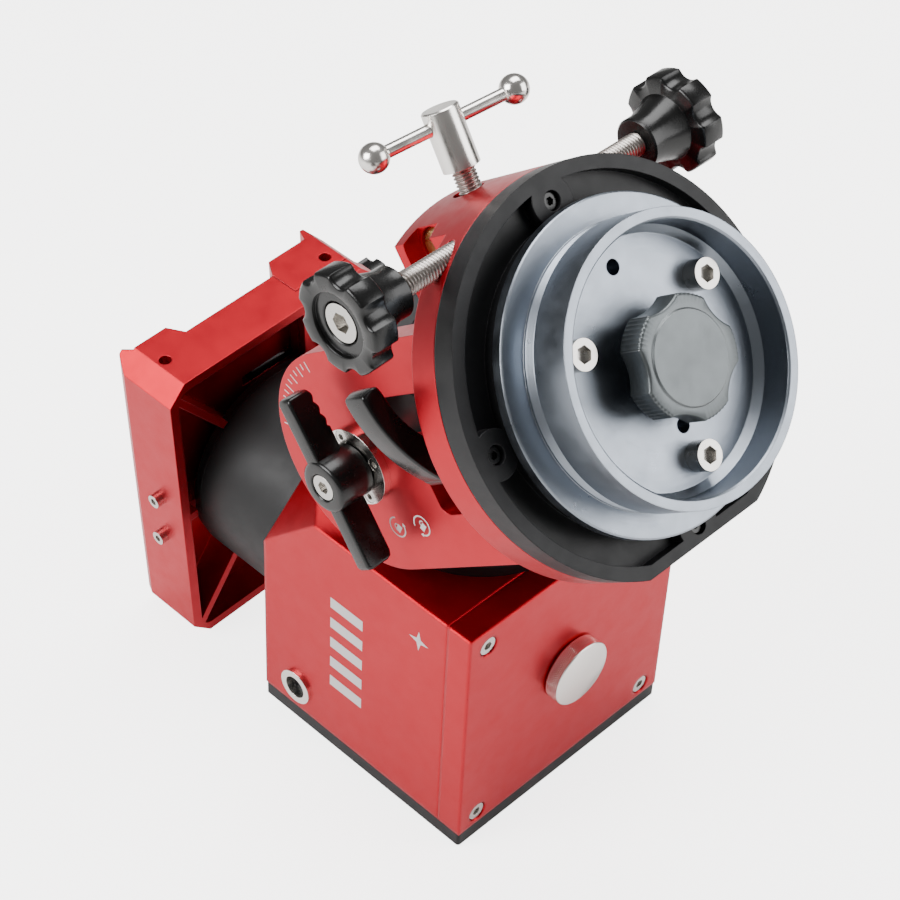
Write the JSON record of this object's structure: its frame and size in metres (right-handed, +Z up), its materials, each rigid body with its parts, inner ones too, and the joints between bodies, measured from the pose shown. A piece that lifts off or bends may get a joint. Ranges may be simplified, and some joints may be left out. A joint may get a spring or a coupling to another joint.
{
  "type": "equatorial mount",
  "caption": "Compact strain-wave equatorial telescope mount head with azimuth and altitude adjusters, a geared polar axis, a geared declination axis and a dovetail saddle.",
  "frame": {"origin": "centre of the tripod adapter's lower rim, on the azimuth axis", "axes": "+Z up along the azimuth axis; X along the altitude axis; +Y towards the raised end of the polar axis, which is set to 38.7 degrees at rest"},
  "size_m": [0.1552, 0.2447, 0.31],
  "materials": {
    "adapter_blue": "satin blue-grey anodised",
    "black_anodised": "satin black anodised",
    "black_gloss": "semi-gloss black",
    "black_matte": "matte black anodised",
    "black_plastic": "fine matte",
    "board": "solder mask",
    "brass": "machined",
    "grey_anodised": "satin dark grey anodised",
    "light_alloy": "machined",
    "motor": "satin",
    "nickel": "polished nickel",
    "red_anodised": "satin red anodised",
    "rubber": "moulded",
    "spring_steel": "ground",
    "steel": "bright stainless"
  },
  "bodies": {
    "base": {"tripod_adapter": "adapter_blue", "adapter_bolts": "steel", "base_ring": "black_anodised", "ring_screws": "black_gloss", "azimuth_spindle": "spring_steel"},
    "centre_knob_body": {"centre_knob": "grey_anodised"},
    "yoke": {"azimuth_yoke": "red_anodised", "pivot_cap_left": "nickel", "pivot_cap_right": "nickel", "pivot_cap_screws": "steel", "altitude_nut": "brass"},
    "azimuth_adjuster_left": {"azimuth_screw_left": "steel"},
    "azimuth_adjuster_right": {"azimuth_screw_right": "steel"},
    "azimuth_handwheel_left": {"azimuth_knob_left": "black_gloss", "azimuth_knob_screw_left": "steel"},
    "azimuth_handwheel_right": {"azimuth_knob_right": "black_gloss", "azimuth_knob_screw_right": "steel"},
    "azimuth_lock": {"azimuth_lock_lever": "black_gloss", "azimuth_lock_stud": "steel"},
    "altitude_adjuster": {"altitude_screw": "nickel"},
    "adjuster_bar": {"tommy_bar": "nickel"},
    "altitude_lock_left": {"altitude_lever_left": "black_gloss", "altitude_lever_screw_left": "steel"},
    "altitude_lock_right": {"altitude_lever_right": "black_gloss", "altitude_lever_screw_right": "steel"},
    "ra_unit": {"ra_housing": "black_matte", "altitude_pivots": "steel", "port_panel": "black_plastic", "port_connectors": "black_plastic", "control_board": "board", "ra_motor": "motor", "ra_belt": "rubber", "ra_circular_spline": "spring_steel", "ra_output_bearing": "spring_steel"},
    "ra_motor_rotor": {"ra_motor_pulley": "light_alloy"},
    "ra_wave_rotor": {"ra_wave_generator": "light_alloy"},
    "dec_unit": {"ra_flexspline": "spring_steel", "ra_output_flange": "black_anodised", "dec_housing": "red_anodised", "end_plate": "red_anodised", "end_plate_screws": "steel", "bottom_cover": "black_anodised", "cover_screws": "black_gloss", "cable_socket": "nickel", "cable_socket_pins": "black_plastic", "dec_sleeve": "black_matte", "dec_motor": "motor", "dec_belt": "rubber", "dec_circular_spline": "spring_steel", "dec_output_bearing": "spring_steel"},
    "dec_motor_rotor": {"dec_motor_pulley": "light_alloy"},
    "dec_wave_rotor": {"dec_wave_generator": "light_alloy"},
    "plug": {"shaft_plug": "steel"},
    "saddle": {"dec_flexspline": "spring_steel", "dec_output_flange": "black_anodised", "saddle_plate": "red_anodised", "jaw_screws": "steel"},
    "saddle_jaw": {"clamp_jaw": "red_anodised"},
    "clamp_upper": {"clamp_knob_upper": "black_gloss"},
    "clamp_lower": {"clamp_knob_lower": "black_gloss"}
  },
  "joints": [
    {"name": "centre_knob_turn", "type": "hinge", "parent": "base", "child": "centre_knob_body", "pos_m": [0, 0, 0], "axis": [0, 0, -1], "continuous": true},
    {"name": "azimuth_turn", "type": "hinge", "parent": "base", "child": "yoke", "pos_m": [0, 0, 0], "axis": [0, 0, 1], "range_deg": [-9, 4.2]},
    {"name": "azimuth_screw_left_slide", "type": "slide", "parent": "yoke", "child": "azimuth_adjuster_left", "axis": [1, 0, 0], "range_m": [-0.0041, 0.0087]},
    {"name": "azimuth_screw_right_slide", "type": "slide", "parent": "yoke", "child": "azimuth_adjuster_right", "axis": [1, 0, 0], "range_m": [-0.0041, 0.0087]},
    {"name": "azimuth_knob_left_turn", "type": "hinge", "parent": "azimuth_adjuster_left", "child": "azimuth_handwheel_left", "pos_m": [-0.08, -0.0552, 0.0422], "axis": [-1, 0, 0], "range_deg": [-1170, 2500]},
    {"name": "azimuth_knob_right_turn", "type": "hinge", "parent": "azimuth_adjuster_right", "child": "azimuth_handwheel_right", "pos_m": [0.08, -0.0552, 0.0422], "axis": [1, 0, 0], "range_deg": [-2500, 1170]},
    {"name": "azimuth_lock_turn", "type": "hinge", "parent": "yoke", "child": "azimuth_lock", "pos_m": [-0.054, 0.002, 0.06], "axis": [0, 0, 1], "range_deg": [-60, 0]},
    {"name": "altitude_screw_turn", "type": "hinge", "parent": "yoke", "child": "altitude_adjuster", "pos_m": [0, -0.0555, 0.064], "axis": [0, -0.9952, -0.0976], "continuous": true},
    {"name": "tommy_bar_slide", "type": "slide", "parent": "altitude_adjuster", "child": "adjuster_bar", "axis": [0.9759, 0.0213, -0.217], "range_m": [-0.015, 0.015]},
    {"name": "altitude_turn", "type": "hinge", "parent": "yoke", "child": "ra_unit", "pos_m": [0, 0, 0.107], "axis": [1, 0, 0], "range_deg": [-38.7, 51.3]},
    {"name": "altitude_lever_left_turn", "type": "hinge", "parent": "yoke", "child": "altitude_lock_left", "pos_m": [-0.06, 0, 0.107], "axis": [-1, 0, 0], "range_deg": [-90, 0]},
    {"name": "altitude_lever_right_turn", "type": "hinge", "parent": "yoke", "child": "altitude_lock_right", "pos_m": [0.06, 0, 0.107], "axis": [1, 0, 0], "range_deg": [-90, 0]},
    {"name": "ra_turn", "type": "hinge", "parent": "ra_unit", "child": "dec_unit", "pos_m": [0, 0.00263, 0.10372], "axis": [0, 0.7804, 0.6252], "continuous": true},
    {"name": "ra_wave_turn", "type": "hinge", "parent": "ra_unit", "child": "ra_wave_rotor", "pos_m": [0, 0.00263, 0.10372], "axis": [0, 0.7804, 0.6252], "continuous": true},
    {"name": "ra_motor_turn", "type": "hinge", "parent": "ra_unit", "child": "ra_motor_rotor", "pos_m": [0, 0.01513, 0.08811], "axis": [0, 0.7804, 0.6252], "continuous": true},
    {"name": "dec_turn", "type": "hinge", "parent": "dec_unit", "child": "saddle", "pos_m": [0, 0.07708, 0.16337], "axis": [0, -0.6252, 0.7804], "continuous": true},
    {"name": "dec_wave_turn", "type": "hinge", "parent": "dec_unit", "child": "dec_wave_rotor", "pos_m": [0, 0.07708, 0.16337], "axis": [0, -0.6252, 0.7804], "continuous": true},
    {"name": "dec_motor_turn", "type": "hinge", "parent": "dec_unit", "child": "dec_motor_rotor", "pos_m": [0, 0.05486, 0.22309], "axis": [0, -0.6252, 0.7804], "continuous": true},
    {"name": "shaft_plug_turn", "type": "hinge", "parent": "dec_unit", "child": "plug", "pos_m": [0, 0.10678, 0.1263], "axis": [0, 0.6252, -0.7804], "continuous": true},
    {"name": "clamp_jaw_slide", "type": "slide", "parent": "saddle", "child": "saddle_jaw", "axis": [0.9984, -0.0436, -0.0349], "range_m": [0, 0.004]},
    {"name": "clamp_knob_upper_turn", "type": "hinge", "parent": "saddle_jaw", "child": "clamp_upper", "pos_m": [0.04805, -0.02279, 0.23007], "axis": [0.9984, -0.0436, -0.0349], "range_deg": [-1450, 1450]},
    {"name": "clamp_knob_lower_turn", "type": "hinge", "parent": "saddle_jaw", "child": "clamp_lower", "pos_m": [0.05179, 0.02941, 0.2719], "axis": [0.9984, -0.0436, -0.0349], "range_deg": [-1450, 1450]}
  ],
  "couplings": [
    {"joint": "azimuth_screw_left_slide", "follows": "azimuth_turn", "m_per_rad": -0.0552},
    {"joint": "azimuth_screw_right_slide", "follows": "azimuth_turn", "m_per_rad": -0.0552},
    {"joint": "azimuth_knob_left_turn", "follows": "azimuth_turn", "ratio": -277.46},
    {"joint": "azimuth_knob_right_turn", "follows": "azimuth_turn", "ratio": 277.46},
    {"joint": "ra_wave_turn", "follows": "ra_turn", "ratio": -100},
    {"joint": "ra_motor_turn", "follows": "ra_turn", "ratio": -300},
    {"joint": "dec_wave_turn", "follows": "dec_turn", "ratio": -100},
    {"joint": "dec_motor_turn", "follows": "dec_turn", "ratio": -300},
    {"joint": "clamp_knob_upper_turn", "follows": "clamp_jaw_slide", "rad_per_m": 6283.2},
    {"joint": "clamp_knob_lower_turn", "follows": "clamp_jaw_slide", "rad_per_m": 6283.2}
  ]
}
